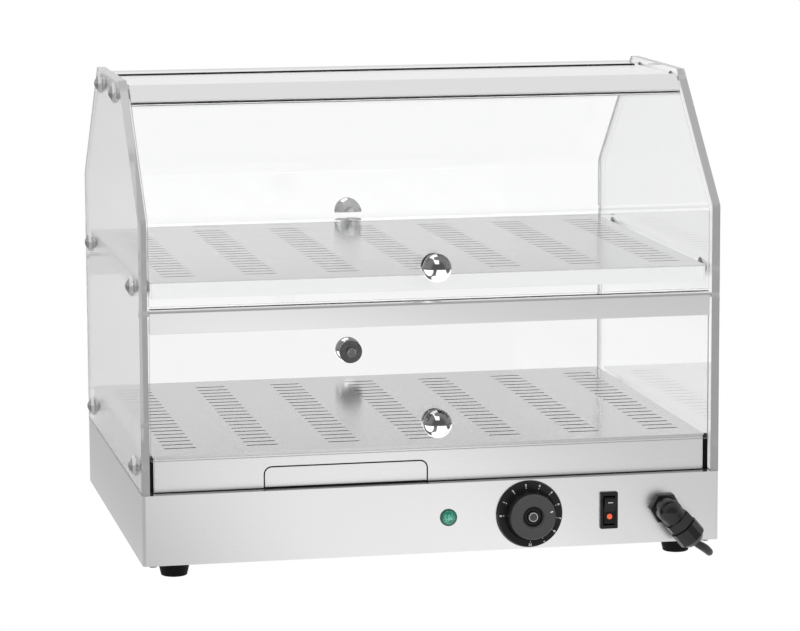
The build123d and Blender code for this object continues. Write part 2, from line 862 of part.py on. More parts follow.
rise = math.radians(36.0)
with BuildPart() as rocker:
    with BuildSketch(rocker_axis):
        with BuildLine():
            edge_y = rocker_radius * math.cos(rise)
            edge_z = rocker_radius * math.sin(rise)
            Polyline((edge_y, edge_z), (0, edge_z * 0.62), (-edge_y, edge_z))
            ThreePointArc((-edge_y, edge_z), (-rocker_radius, 0), (-edge_y, -edge_z))
            Line((-edge_y, -edge_z), (edge_y, -edge_z))
            ThreePointArc((edge_y, -edge_z), (rocker_radius, 0), (edge_y, edge_z))
        make_face()
    extrude(amount=rocker_width)
rocker_turn = Location((0, 0, rocker_pivot), (rocker_tilt, 0, 0)) * Location((0, 0, -rocker_pivot))
place_on_front(rocker.part.moved(rocker_turn), switch_x, "switch_rocker")

# Elbow cable gland in black nylon, turned down to the right
gland_flange_radius = 14.0
gland_flange_height = 6.0
gland_bore_radius = 4.2
elbow_radius = 10.5
elbow_reach = 20.0
gland_fall = 50.0
collar_start = 8.0
collar_radius = 12.5
collar_length = 8.0
cap_start = 17.5
cap_radius = 12.5
cap_length = 17.0
cap_nose_radius = 8.0
cord_radius = 3.3
locknut_height = 5.0
thread_radius = gland_hole_radius - 0.2
fall = math.radians(gland_fall)
corner = Vector(gland_x, -base_front - elbow_reach, control_z)
cord_way = Vector(math.cos(fall), 0, -math.sin(fall))
cap_plane = Plane(origin=corner, x_dir=(0, 1, 0), z_dir=cord_way)

with BuildPart() as gland_elbow:
    with BuildSketch():
        RegularPolygon(gland_flange_radius, 6)
    extrude(amount=gland_flange_height)
    chamfer(gland_elbow.faces().sort_by(Axis.Z)[-1].edges(), 0.8)
    with BuildSketch():
        Circle(elbow_radius)
    extrude(amount=elbow_reach)
    with BuildSketch(Plane.XY.offset(-base_sheet - locknut_height - 2.0)):
        Circle(thread_radius)
    extrude(amount=base_sheet + locknut_height + 2.0)
with BuildPart() as elbow:
    add(gland_elbow.part.moved(on_front(gland_x)))
    with Locations(corner):
        Sphere(elbow_radius)
    with BuildSketch(cap_plane):
        Circle(elbow_radius - 0.5)
    extrude(amount=cap_start + 6.0)
    with BuildSketch(cap_plane.offset(collar_start)):
        RegularPolygon(collar_radius, 6)
    extrude(amount=collar_length)
    with BuildSketch(cap_plane):
        Circle(gland_bore_radius)
    extrude(amount=cap_start + 6.0, mode=Mode.SUBTRACT)
    with BuildSketch(Plane.XZ.offset(base_front - base_sheet - locknut_height - 2.0)):
        with Locations((gland_x, control_z)):
            Circle(gland_bore_radius)
    extrude(amount=elbow_reach + base_sheet + locknut_height + 2.0, mode=Mode.SUBTRACT)
elbow.part.label = "gland_elbow"
export_step(elbow.part, "parts/gland_elbow.step")

with BuildPart() as gland_cap:
    with BuildSketch(cap_plane.offset(cap_start)):
        RegularPolygon(cap_radius, 12)
    extrude(amount=cap_length - 4.0)
    with BuildSketch(cap_plane.offset(cap_start + cap_length - 4.0)):
        Circle(cap_radius - 0.8)
    with BuildSketch(cap_plane.offset(cap_start + cap_length)):
        Circle(cap_nose_radius)
    loft()
    with BuildSketch(cap_plane.offset(cap_start)):
        Circle(elbow_radius - 0.5 + seat_gap)
    extrude(amount=7.0, mode=Mode.SUBTRACT)
    with BuildSketch(cap_plane.offset(cap_start)):
        Circle(cap_nose_radius - 2.0)
    extrude(amount=cap_length, mode=Mode.SUBTRACT)
gland_cap.part.label = "gland_cap"
export_step(gland_cap.part, "parts/gland_cap.step")

with BuildPart() as gland_seal:
    with BuildSketch(cap_plane.offset(cap_start + 7.0)):
        Circle(cap_nose_radius - 2.0 - seat_gap)
    extrude(amount=cap_length - 7.0)
gland_seal.part.label = "gland_seal"
export_step(gland_seal.part, "parts/gland_seal.step")

with BuildPart() as gland_locknut:
    with BuildSketch(Plane.XY.offset(-base_sheet - locknut_height)):
        RegularPolygon(gland_flange_radius - 1.0, 6)
        Circle(thread_radius + seat_gap, mode=Mode.SUBTRACT)
    extrude(amount=locknut_height)
place_on_front(gland_locknut.part, gland_x, "gland_locknut")

# Mains lead: out of the gland, down to the floor, back under the base's right
# edge, then a neat coil behind the case and the plug beside it
cord_start = corner + cord_way * (cap_start + cap_length)
coil_centre_x = 190.0
coil_centre_y = 268.0
coil_outer_radius = 45.0
coil_pitch = 2 * cord_radius + 0.6
coil_layer = 2 * cord_radius + 0.6
coil_turns_in = 2.5
coil_turns_out = 2.25
coil_climb = 0.5
cord_straight = 3.5
cord_points = [
    tuple(cord_start),
    tuple(cord_start + cord_way * cord_straight),
    (232.0, -213.5, 12.2),
    (238.0, -207.0, 6.0),
    (242.0, -190.0, cord_radius),
    (241.0, -156.0, cord_radius),
    (238.5, -100.0, cord_radius),
    (241.0, -20.0, cord_radius),
    (237.5, 65.0, cord_radius),
    (240.0, 140.0, cord_radius),
    (238.0, 208.0, cord_radius),
    (coil_centre_x + coil_outer_radius, coil_centre_y - 20.0, cord_radius),
    (coil_centre_x + coil_outer_radius, coil_centre_y, cord_radius),
]


def route_radii(points):
    """The largest radius at each corner: 0.45 of its shorter run over the half turn's tangent."""
    radii = []
    for before, here, after in zip(points, points[1:], points[2:]):
        run_in, run_out = Vector(here) - Vector(before), Vector(after) - Vector(here)
        half_turn = math.radians(run_in.get_angle(run_out)) / 2
        radii.append(0.45 * min(run_in.length, run_out.length) / math.tan(half_turn))
    return radii


def tube(points, radius):
    """A round tube along straight runs joined by the largest arcs, and its length."""
    radii = route_radii(points)
    print("bend radii", [round(value, 1) for value in radii])
    with BuildPart() as piece:
        with BuildLine() as path:
            FilletPolyline(*points, radius=radii)
        first = Vector(points[1]) - Vector(points[0])
        with BuildSketch(Plane(origin=points[0], z_dir=first)):
            Circle(radius)
        sweep()
    length = sum(edge.length for edge in path.edges())
    section = math.pi * radius**2
    ratio = piece.part.volume / (section * length)
    print("tube length", round(length, 1), "volume ratio", round(ratio, 4))
    return piece.part


cord = tube(cord_points, cord_radius)
cord.label = "cord"
export_step(cord, "parts/cord.step")


def coil_point(turn):
    """A point of the coil's middle line after so many turns: in, up a layer, then out."""
    inner = coil_outer_radius - coil_turns_in * coil_pitch
    if turn < coil_turns_in:
        radius, height = coil_outer_radius - coil_pitch * turn, 0.0
    elif turn < coil_turns_in + coil_climb:
        share = (turn - coil_turns_in) / coil_climb
        radius = inner - coil_pitch * coil_climb / math.pi * math.sin(math.pi * share)
        height = coil_layer * (1 - math.cos(math.pi * share)) / 2
    else:
        radius = inner + coil_pitch * (turn - coil_turns_in - coil_climb)
        height = coil_layer
    angle = 2 * math.pi * turn
    return Vector(
        coil_centre_x + radius * math.cos(angle),
        coil_centre_y + radius * math.sin(angle),
        cord_radius + height,
    )


def coil_heading(turn):
    step = 0.0005
    return (coil_point(turn + step) - coil_point(turn - step)).normalized()


def biarc(start, start_way, end, end_way):
    """Two arcs that leave start along start_way and reach end along end_way."""
    across = end - start
    sum_way = start_way + end_way
    bend = 2 * (1 - start_way.dot(end_way))
    reach = (
        -across.dot(sum_way) + math.sqrt(across.dot(sum_way) ** 2 + bend * across.dot(across))
    ) / bend
    first = start + start_way * reach
    second = end - end_way * reach
    middle = (first + second) * 0.5
    TangentArc(start, middle, tangent=start_way)
    TangentArc(middle, end, tangent=(second - first).normalized())


coil_turns = coil_turns_in + coil_climb + coil_turns_out
quarters = round(coil_turns * 4)
with BuildPart() as cord_coil:
    with BuildLine() as coil_line:
        for quarter in range(quarters):
            a, b = quarter / 4, (quarter + 1) / 4
            start_way = Vector(0, 1, 0) if quarter == 0 else coil_heading(a)
            end_way = Vector(-1, 0, 0) if quarter == quarters - 1 else coil_heading(b)
            biarc(coil_point(a), start_way, coil_point(b), end_way)
    with BuildSketch(Plane(origin=coil_point(0), z_dir=(0, 1, 0))):
        Circle(cord_radius)
    sweep()
cord_coil.part.label = "cord_coil"
export_step(cord_coil.part, "parts/cord_coil.step")

samples = [coil_point(index / 48) for index in range(round(coil_turns * 48))]
least = min(
    (one - other).length
    for index, one in enumerate(samples)
    for other in samples[index + 24 :]
)
coil_length = sum(edge.length for edge in coil_line.edges())
print("coil length", round(coil_length, 1), "least gap", round(least - 2 * cord_radius, 2))

# The lead's tail climbs from the coil's top turn to the plug's rear
plug_radius = 18.5
plug_length = 36.0
plug_nose_length = 24.0
plug_nose_radius = 6.0
plug_pin_radius = 2.4
plug_pin_length = 19.0
plug_pin_pitch = 19.0
tail_start = coil_point(coil_turns)
plug_rear = Vector(tail_start.X - 52.0, tail_start.Y + 1.0, plug_radius)
tail_points = [
    tuple(tail_start),
    (tail_start.X - 16.0, tail_start.Y, tail_start.Z),
    (plug_rear.X + 16.0, plug_rear.Y, plug_radius),
    tuple(plug_rear),
]
cord_tail = tube(tail_points, cord_radius)
cord_tail.label = "cord_tail"
export_step(cord_tail, "parts/cord_tail.step")

plug_plane = Plane(origin=plug_rear, x_dir=(0, 1, 0), z_dir=(-1, 0, 0))
with BuildPart() as plug_body:
    with BuildSketch(Plane.XZ):
        with BuildLine():
            Polyline(
                (0, 0),
                (plug_nose_radius - 1.0, 0),
                (plug_nose_radius, plug_nose_length * 0.8),
                (plug_radius * 0.72, plug_nose_length),
                (plug_radius, plug_nose_length + 6.0),
                (plug_radius, plug_nose_length + plug_length - 1.0),
                (plug_radius - 1.0, plug_nose_length + plug_length),
                (0, plug_nose_length + plug_length),
                close=True,
            )
        make_face()
    revolve(axis=Axis.Z)
    with BuildSketch(Plane.XY.offset(plug_nose_length + plug_length - plug_pin_length)):
        with Locations((0, -plug_pin_pitch / 2), (0, plug_pin_pitch / 2)):
            Circle(plug_pin_radius + seat_gap)
    extrude(amount=plug_pin_length, mode=Mode.SUBTRACT)
plug = plug_body.part.moved(plug_plane.location)
plug.label = "plug_body"
export_step(plug, "parts/plug_body.step")

with BuildPart() as plug_pin:
    with BuildSketch(Plane.XY.offset(plug_nose_length + plug_length - plug_pin_length + seat_gap)):
        Circle(plug_pin_radius)
    extrude(amount=2 * plug_pin_length)
    fillet(plug_pin.edges().sort_by(Axis.Z)[-1], 1.6)
plug_pins = copies(plug_pin.part, [(0, -plug_pin_pitch / 2, 0), (0, plug_pin_pitch / 2, 0)])
plug_pins = plug_pins.moved(plug_plane.location)
plug_pins.label = "plug_pins"
export_step(plug_pins, "parts/plug_pins.step")

# Inside the base: the heating element in its brackets under the base's top
element_radius = 3.2
element_half_length = 150.0
element_half_gap = 42.0
element_centre_x = 20.0
element_centre_y = 70.0
element_drop = 12.0
element_z = base_top - base_sheet - element_drop
with BuildPart() as heating_element:
    with BuildLine():
        FilletPolyline(
            (element_centre_x + element_half_length, element_centre_y - element_half_gap, element_z),
            (element_centre_x - element_half_length, element_centre_y - element_half_gap, element_z),
            (element_centre_x - element_half_length, element_centre_y + element_half_gap, element_z),
            (element_centre_x + element_half_length, element_centre_y + element_half_gap, element_z),
            radius=element_half_gap * 0.8,
        )
    with BuildSketch(
        Plane(
            origin=(
                element_centre_x + element_half_length,
                element_centre_y - element_half_gap,
                element_z,
            ),
            z_dir=(-1, 0, 0),
        )
    ):
        Circle(element_radius)
    sweep()
heating_element.part.label = "heating_element"
export_step(heating_element.part, "parts/heating_element.step")

bracket_width = 10.0
bracket_places = [element_centre_x + side * element_half_length / 2 for side in (-1, 1)]
with BuildPart() as heater_brackets:
    for x in bracket_places:
        for side in (-1, 1):
            y = element_centre_y + side * element_half_gap
            with BuildSketch(Plane.YZ.offset(x - bracket_width / 2)):
                with Locations((y, (base_top - base_sheet + element_z) / 2 - 1.5)):
                    Rectangle(2 * element_radius + 6.0, base_top - base_sheet - element_z + 3.0)
                with Locations((y, element_z)):
                    Circle(element_radius + seat_gap, mode=Mode.SUBTRACT)
            extrude(amount=bracket_width)
heater_brackets.part.label = "heater_brackets"
export_step(heater_brackets.part, "parts/heater_brackets.step")

# The thermostat's sensing bulb, clipped under the base's top, and its thin tube
bulb_radius = 3.0
bulb_length = 70.0
capillary_radius = 1.0
bulb_z = base_top - base_sheet - bulb_radius
bulb_y = -70.0
bulb_offset = 70.0
bulb_x = dial_x - bulb_offset
capillary_rise = 10.0
capillary_reach = 22.0
capillary_bend_x = 14.0
capillary_bend_y = 6.0
capillary_run = 34.0
thermostat_back = -base_front + base_sheet + thermostat_depth
capillary_points = [
    (dial_x, thermostat_back, control_z + capillary_rise),
    (dial_x, thermostat_back + capillary_reach, control_z + capillary_rise),
    (dial_x - capillary_bend_x, bulb_y - capillary_bend_y, bulb_z),
    (dial_x - capillary_run, bulb_y, bulb_z),
    (bulb_x + bulb_length / 2 - seat_gap, bulb_y, bulb_z),
]
with BuildPart() as thermostat_capillary:
    add(tube(capillary_points, capillary_radius))
    with BuildSketch(Plane(origin=(bulb_x - bulb_length / 2, bulb_y, bulb_z), z_dir=(1, 0, 0))):
        Circle(bulb_radius - seat_gap)
    extrude(amount=bulb_length)
thermostat_capillary.part.label = "thermostat_capillary"
export_step(thermostat_capillary.part, "parts/thermostat_capillary.step")

# Terminal block on the bottom plate, behind the gland
block_length = 42.0
block_width = 20.0
block_height = 16.0
block_ways = 4
block_offset = 6.0
block_setback = 100.0
with BuildPart() as terminal_block:
    with BuildSketch(Plane.XY.offset(base_bottom)):
        with Locations((gland_x - block_offset, -block_setback)):
            Rectangle(block_length, block_width)
    extrude(amount=block_height)
    with BuildSketch(Plane.XY.offset(base_bottom + block_height - 6.0)):
        with Locations((gland_x - block_offset, -block_setback)):
            with GridLocations(block_length / block_ways, block_width / 2, block_ways, 2):
                Circle(2.4)
    extrude(amount=6.0, mode=Mode.SUBTRACT)
terminal_block.part.label = "terminal_block"
export_step(terminal_block.part, "parts/terminal_block.step")
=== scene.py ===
import json
import math
import bmesh
import bpy
from mathutils import Matrix, Vector
from mathutils.bvhtree import BVHTree


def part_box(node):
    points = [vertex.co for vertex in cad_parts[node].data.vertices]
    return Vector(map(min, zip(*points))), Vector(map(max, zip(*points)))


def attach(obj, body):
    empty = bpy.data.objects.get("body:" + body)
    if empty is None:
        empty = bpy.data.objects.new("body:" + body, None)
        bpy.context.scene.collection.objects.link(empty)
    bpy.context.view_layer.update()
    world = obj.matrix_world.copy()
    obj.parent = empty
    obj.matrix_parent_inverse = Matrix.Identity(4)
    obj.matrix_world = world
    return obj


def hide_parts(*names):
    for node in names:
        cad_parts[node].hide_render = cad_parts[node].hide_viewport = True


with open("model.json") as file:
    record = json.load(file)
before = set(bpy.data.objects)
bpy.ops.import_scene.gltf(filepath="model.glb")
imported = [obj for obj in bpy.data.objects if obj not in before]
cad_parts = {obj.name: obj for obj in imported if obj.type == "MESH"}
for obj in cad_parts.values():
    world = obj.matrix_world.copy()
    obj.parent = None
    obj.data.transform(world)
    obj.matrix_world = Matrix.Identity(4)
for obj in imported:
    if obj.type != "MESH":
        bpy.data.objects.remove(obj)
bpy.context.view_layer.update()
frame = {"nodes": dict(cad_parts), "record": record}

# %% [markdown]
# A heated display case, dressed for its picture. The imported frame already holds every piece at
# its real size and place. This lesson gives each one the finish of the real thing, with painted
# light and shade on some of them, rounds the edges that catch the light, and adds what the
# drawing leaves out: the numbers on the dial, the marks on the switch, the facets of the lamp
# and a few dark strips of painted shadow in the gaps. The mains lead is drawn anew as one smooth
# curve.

MM = 0.001
nodes = frame["nodes"]
scene = bpy.context.scene
scene.view_settings.view_transform = "Standard"


def deselect():
    """Nothing selected, and object mode, before an operator acts."""
    if bpy.context.object and bpy.context.object.mode != "OBJECT":
        bpy.ops.object.mode_set(mode="OBJECT")
    bpy.ops.object.select_all(action="DESELECT")


def pick(piece):
    """Only this piece selected and active."""
    deselect()
    piece.select_set(True)
    bpy.context.view_layer.objects.active = piece


def named(name):
    """The piece that the last operator added, under its own name."""
    piece = bpy.context.object
    piece.name = name
    piece.data.name = name
    return piece


def settle(piece):
    """The piece's place goes into its mesh, so that its object sits at the origin."""
    pick(piece)
    bpy.ops.object.transform_apply(location=True, rotation=True, scale=True)
    return piece


# %% [markdown]
# The camera comes first. The photograph was taken with a long lens, a little to the left
# of the case and a little above it, so the front is almost flat on while the left panel
# and the decks show as narrow slopes. Its place and turn were found by lining the case's
# corners up with the photograph, and are written here as plain distances and angles.

# %% Camera
IMAGE_WIDTH, IMAGE_HEIGHT = 800, 631
CAMERA_PLACE = Vector((-0.6209, -3.0864, 0.6648))
CAMERA_YAW = math.radians(11.543)
CAMERA_PITCH = math.radians(8.578)
CAMERA_ROLL = math.radians(-0.266)
FOCAL_PIXELS = 3555.9
SENSOR = 36.0
CLIP_END = 50

bpy.ops.object.camera_add()
camera = named("camera")
forward = Vector(
    (
        math.sin(CAMERA_YAW) * math.cos(CAMERA_PITCH),
        math.cos(CAMERA_YAW) * math.cos(CAMERA_PITCH),
        -math.sin(CAMERA_PITCH),
    )
)
level = Vector((math.cos(CAMERA_YAW), -math.sin(CAMERA_YAW), 0))
upward = level.cross(forward)
right = level * math.cos(CAMERA_ROLL) + upward * math.sin(CAMERA_ROLL)
top = upward * math.cos(CAMERA_ROLL) - level * math.sin(CAMERA_ROLL)
turn = Matrix((right, top, -forward)).transposed()
camera.matrix_world = Matrix.Translation(CAMERA_PLACE) @ turn.to_4x4()
camera.data.sensor_width = SENSOR
camera.data.lens = FOCAL_PIXELS / IMAGE_WIDTH * SENSOR
camera.data.clip_end = CLIP_END
scene.camera = camera
print("lens", round(camera.data.lens, 1), "mm, image", IMAGE_WIDTH, "by", IMAGE_HEIGHT)

# %% [markdown]
# The mains lead is one long smooth curve. A curve of control points is how a cable is
# best drawn: it leaves the gland, bends down to the table, runs back under the right
# edge of the base and ends in a neat coil behind the case. The coil's turns spiral in
# on the table, climb one layer and spiral out again, worked out by a formula.

# %% Mains lead
CORD_RADIUS = 3.3
CORD_STRAIGHT = 3.5
GLAND_CORNER = Vector((201.5, -212.0, 44.2))
GLAND_FALL = math.radians(50.0)
GLAND_REACH = 34.5
COIL_CENTRE = Vector((190.0, 268.0))
COIL_RADIUS = 45.0
COIL_PITCH = 2 * CORD_RADIUS + 0.6
COIL_RUN_IN = 20.0
TURNS_IN, TURNS_CLIMB, TURNS_OUT = 2.5, 0.5, 2.25
POINTS_PER_TURN = 16
PLUG_RADIUS = 18.5
PLUG_AWAY, PLUG_ASIDE = 52.0, 1.0
TAIL_RUN = Vector((16.0, 0, 0))
CURVE_ORDER, STEPS_ALONG, STEPS_ROUND = 3, 6, 5

gland_way = Vector((math.cos(GLAND_FALL), 0, -math.sin(GLAND_FALL)))
cord_exit = GLAND_CORNER + gland_way * GLAND_REACH
route = [
    cord_exit,
    cord_exit + gland_way * CORD_STRAIGHT,
    Vector((232.0, -213.5, 12.2)),
    Vector((238.0, -207.0, 6.0)),
    Vector((242.0, -190.0, CORD_RADIUS)),
    Vector((241.0, -156.0, CORD_RADIUS)),
    Vector((238.5, -100.0, CORD_RADIUS)),
    Vector((241.0, -20.0, CORD_RADIUS)),
    Vector((237.5, 65.0, CORD_RADIUS)),
    Vector((240.0, 140.0, CORD_RADIUS)),
    Vector((238.0, 208.0, CORD_RADIUS)),
    Vector((COIL_CENTRE.x + COIL_RADIUS, COIL_CENTRE.y - COIL_RUN_IN, CORD_RADIUS)),
]


def coil_point(turn):
    """A point of the coil's middle line after so many turns."""
    inner = COIL_RADIUS - TURNS_IN * COIL_PITCH
    if turn < TURNS_IN:
        radius, height = COIL_RADIUS - COIL_PITCH * turn, 0.0
    elif turn < TURNS_IN + TURNS_CLIMB:
        share = (turn - TURNS_IN) / TURNS_CLIMB
        radius = inner - COIL_PITCH * TURNS_CLIMB / math.pi * math.sin(math.pi * share)
        height = COIL_PITCH * (1 - math.cos(math.pi * share)) / 2
    else:
        radius = inner + COIL_PITCH * (turn - TURNS_IN - TURNS_CLIMB)
        height = COIL_PITCH
    angle = 2 * math.pi * turn
    return Vector(
        (
            COIL_CENTRE.x + radius * math.cos(angle),
            COIL_CENTRE.y + radius * math.sin(angle),
            CORD_RADIUS + height,
        )
    )


coil_turns = TURNS_IN + TURNS_CLIMB + TURNS_OUT
coil_steps = round(coil_turns * POINTS_PER_TURN)
route += [coil_point(step / POINTS_PER_TURN) for step in range(coil_steps + 1)]
tail = coil_point(coil_turns)
plug_rear = Vector((tail.x - PLUG_AWAY, tail.y + PLUG_ASIDE, PLUG_RADIUS))
route += [tail - TAIL_RUN, plug_rear + TAIL_RUN, plug_rear]

curve = bpy.data.curves.new("mains_lead", "CURVE")
curve.dimensions = "3D"
spline = curve.splines.new("NURBS")
spline.points.add(len(route) - 1)
for point, place in zip(spline.points, route):
    point.co = (*(place * MM), 1)
    point.radius = CORD_RADIUS * MM
spline.order_u = CURVE_ORDER
spline.use_endpoint_u = True
spline.resolution_u = STEPS_ALONG
curve.bevel_depth = 1.0
curve.bevel_resolution = STEPS_ROUND
curve.use_fill_caps = True
mains_lead = bpy.data.objects.new("mains_lead", curve)
scene.collection.objects.link(mains_lead)
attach(mains_lead, "case")
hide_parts("cord", "cord_coil", "cord_tail")
print("lead's control points", len(route))

# %% [markdown]
# Every finish, and the studio too, is a small graph of shader nodes. These tools add the
# parts that come back again and again: a value stretched to another span, two values
# worked into one, and two shaders mixed by a share.


# %% Tools for shader graphs
def shader_tree(name):
    """A new material with only its output, its links and a way to add nodes."""
    material = bpy.data.materials.new(name)
    material.use_nodes = True
    tree = material.node_tree
    tree.nodes.clear()
    output = tree.nodes.new("ShaderNodeOutputMaterial")
    return material, tree, output


def shader_of(material):
    """The Principled shader of a finished material."""
    return next(n for n in material.node_tree.nodes if n.type == "BSDF_PRINCIPLED")


def combined(tree, operation, *values):
    """Values, each a socket or a plain number, through one math node."""
    node = tree.nodes.new("ShaderNodeMath")
    node.operation = operation
    for socket, value in zip(node.inputs, values):
        if isinstance(value, float):
            socket.default_value = value
        else:
            tree.links.new(value, socket)
    return node.outputs[0]


def ranged(tree, value, low, high, source=(0.0, 1.0), smooth=False):
    """The value stretched from the source span to low..high, and held at the ends."""
    span = tree.nodes.new("ShaderNodeMapRange")
    if smooth:
        span.interpolation_type = "SMOOTHSTEP"
    span.inputs["From Min"].default_value, span.inputs["From Max"].default_value = source
    span.inputs["To Min"].default_value = low
    span.inputs["To Max"].default_value = high
    tree.links.new(value, span.inputs["Value"])
    return span.outputs["Result"]


def mixed(tree, share, first, second):
    """The first shader where the share is 0, and the second where it is 1."""
    mix = tree.nodes.new("ShaderNodeMixShader")
    tree.links.new(share, mix.inputs["Fac"])
    tree.links.new(first.outputs[0], mix.inputs[1])
    tree.links.new(second.outputs[0], mix.inputs[2])
    return mix


def ray_share(tree, *kinds):
    """1 for rays of any of these kinds, 0 for the rest."""
    light_path = tree.nodes.new("ShaderNodeLightPath")
    value = light_path.outputs[f"Is {kinds[0]} Ray"]
    for kind in kinds[1:]:
        value = combined(tree, "MAXIMUM", value, light_path.outputs[f"Is {kind} Ray"])
    return value


def object_place(tree):
    """The place on the piece in metres."""
    return tree.nodes.new("ShaderNodeTexCoord").outputs["Object"]


def parts_of(tree, vector):
    """The X, Y and Z of a vector, by name."""
    split = tree.nodes.new("ShaderNodeSeparateXYZ")
    tree.links.new(vector, split.inputs[0])
    return split.outputs


# %% [markdown]
# The photograph is a studio cut-out: pure white all round, very soft light, and pale
# steel. A white floor that shows as white to the camera, and to rays that come off metal
# or through the clear sheets, gives the same look, while a diffuse ray sees a quieter
# room, so nothing on the case is lit past white.

# %% Floor, room and lamps
FLOOR_HALF = 6.0
FLOOR_GREY = 0.6
EYE_WHITE = 1.0
# What the metal mirrors: the floor's shade by its place along X in metres, and the room's
# shade behind the case and in front of it.
METAL_FLOOR_SPAN = (-1.2, 1.2)
METAL_FLOOR = [
    (-1.2, 0.5),
    (-0.35, 0.56),
    (-0.04, 1.12),
    (0.08, 1.15),
    (0.2, 0.96),
    (0.32, 0.78),
    (1.2, 0.6),
]
METAL_ROOM = 0.88
METAL_ROOM_FRONT = 0.42
FRONT_FADE = (-0.75, -0.3)
ROOM_LIGHT = 0.6
LAMP_AIM = Vector((0, 0, 0.15))

bpy.ops.mesh.primitive_plane_add(size=2 * FLOOR_HALF, location=(0, 0, 0))
floor = settle(named("floor"))


def band(tree, span, places_and_shades):
    """A grey that changes along X: (place in metres, shade) pairs from low to high."""
    low, high = span
    along = ranged(tree, parts_of(tree, object_place(tree))["X"], 0.0, 1.0, span)
    ramp = tree.nodes.new("ShaderNodeValToRGB")
    ramp.color_ramp.interpolation = "EASE"
    while len(ramp.color_ramp.elements) < len(places_and_shades):
        ramp.color_ramp.elements.new(0.5)
    for element, (place, shade) in zip(ramp.color_ramp.elements, places_and_shades):
        element.position = (place - low) / (high - low)
        element.color = (shade, shade, shade, 1)
    tree.links.new(along, ramp.inputs["Fac"])
    return ramp.outputs["Color"]


def background(tree, strength):
    """A white background of this strength."""
    light = tree.nodes.new("ShaderNodeBackground")
    light.inputs["Color"].default_value = (1, 1, 1, 1)
    light.inputs["Strength"].default_value = strength
    return light


def shown_by_ray(tree, output, lit, mirrored, seen):
    """One shader lights the case, one is mirrored in its metal and one meets the eye."""
    to_metal = mixed(tree, ray_share(tree, "Glossy"), lit, mirrored)
    to_eye = mixed(tree, ray_share(tree, "Camera", "Transmission"), to_metal, seen)
    tree.links.new(to_eye.outputs[0], output.inputs["Surface"])


material, tree, output = shader_tree("studio_floor")
lit_floor = tree.nodes.new("ShaderNodeBsdfDiffuse")
lit_floor.inputs["Color"].default_value = (*(FLOOR_GREY,) * 3, 1)
seen_floor = tree.nodes.new("ShaderNodeEmission")
seen_floor.inputs["Strength"].default_value = EYE_WHITE
mirrored_floor = tree.nodes.new("ShaderNodeEmission")
tree.links.new(band(tree, METAL_FLOOR_SPAN, METAL_FLOOR), mirrored_floor.inputs["Color"])
shown_by_ray(tree, output, lit_floor, mirrored_floor, seen_floor)
floor.data.materials.append(material)

world = bpy.data.worlds.new("studio")
scene.world = world
world.use_nodes = True
tree = world.node_tree
tree.nodes.clear()
output = tree.nodes.new("ShaderNodeOutputWorld")
look = tree.nodes.new("ShaderNodeTexCoord")
fore = parts_of(tree, look.outputs["Generated"])["Y"]
mirrored_room = background(tree, METAL_ROOM)
tree.links.new(
    ranged(tree, fore, METAL_ROOM_FRONT, METAL_ROOM, FRONT_FADE, smooth=True),
    mirrored_room.inputs["Strength"],
)
lit_room, seen_room = background(tree, ROOM_LIGHT), background(tree, EYE_WHITE)
shown_by_ray(tree, output, lit_room, mirrored_room, seen_room)


def soft_lamp(name, place, size, power):
    """A square soft lamp at place, turned towards the case and not mirrored in it."""
    bpy.ops.object.light_add(type="AREA", location=place)
    lamp = named(name)
    lamp.data.size = size
    lamp.data.energy = power
    lamp.rotation_euler = (LAMP_AIM - Vector(place)).to_track_quat("-Z", "Y").to_euler()
    lamp.visible_glossy = False
    return lamp


soft_lamp("lamp_over", (-0.3, -0.6, 2.6), 2.4, 20)
soft_lamp("lamp_left", (-2.6, -1.4, 1.2), 1.8, 10)
soft_lamp("lamp_front", (0.6, -3.2, 1.5), 1.6, 27)
print("lamps and floor set")

# %% [markdown]
# Brushed steel is a mirror scratched one way. The scratches are far too fine to model,
# so a noise stretched along the brushing direction varies the roughness a little and
# tilts the surface by a hair. Stretching is done with the scale of the pattern: high
# across the grain and low along it.

# %% Metals
BRUSHED_SCALE = (12, 2600, 2600)
BRUSHED_RELIEF = 0.000004
WEAR_SCALE = (300, 300, 300)


def principled(name, colour, roughness, metallic=0.0):
    """A material with one Principled shader, returned with its tree."""
    material, tree, output = shader_tree(name)
    shader = tree.nodes.new("ShaderNodeBsdfPrincipled")
    shader.inputs["Base Color"].default_value = (*colour, 1)
    shader.inputs["Roughness"].default_value = roughness
    shader.inputs["Metallic"].default_value = metallic
    tree.links.new(shader.outputs[0], output.inputs["Surface"])
    return material, tree, shader


def grain(tree, scale, detail):
    """A noise on the piece's own place, with its own scale along each axis."""
    mapping = tree.nodes.new("ShaderNodeMapping")
    mapping.inputs["Scale"].default_value = scale
    noise = tree.nodes.new("ShaderNodeTexNoise")
    noise.inputs["Scale"].default_value = 1.0
    noise.inputs["Detail"].default_value = detail
    tree.links.new(object_place(tree), mapping.inputs["Vector"])
    tree.links.new(mapping.outputs[0], noise.inputs["Vector"])
    return noise.outputs["Fac"]


def bumped(tree, shader, value, distance, strength):
    """The value as a small relief on the shader."""
    bump = tree.nodes.new("ShaderNodeBump")
    bump.inputs["Distance"].default_value = distance
    bump.inputs["Strength"].default_value = strength
    tree.links.new(value, bump.inputs["Height"])
    tree.links.new(bump.outputs[0], shader.inputs["Normal"])


def tinted(tree, shader, value, dark, light):
    """The shader's colour between two shades by the value."""
    mix = tree.nodes.new("ShaderNodeMix")
    mix.data_type = "RGBA"
    tree.links.new(value, mix.inputs["Factor"])
    mix.inputs["A"].default_value = (*dark, 1)
    mix.inputs["B"].default_value = (*light, 1)
    tree.links.new(mix.outputs["Result"], shader.inputs["Base Color"])


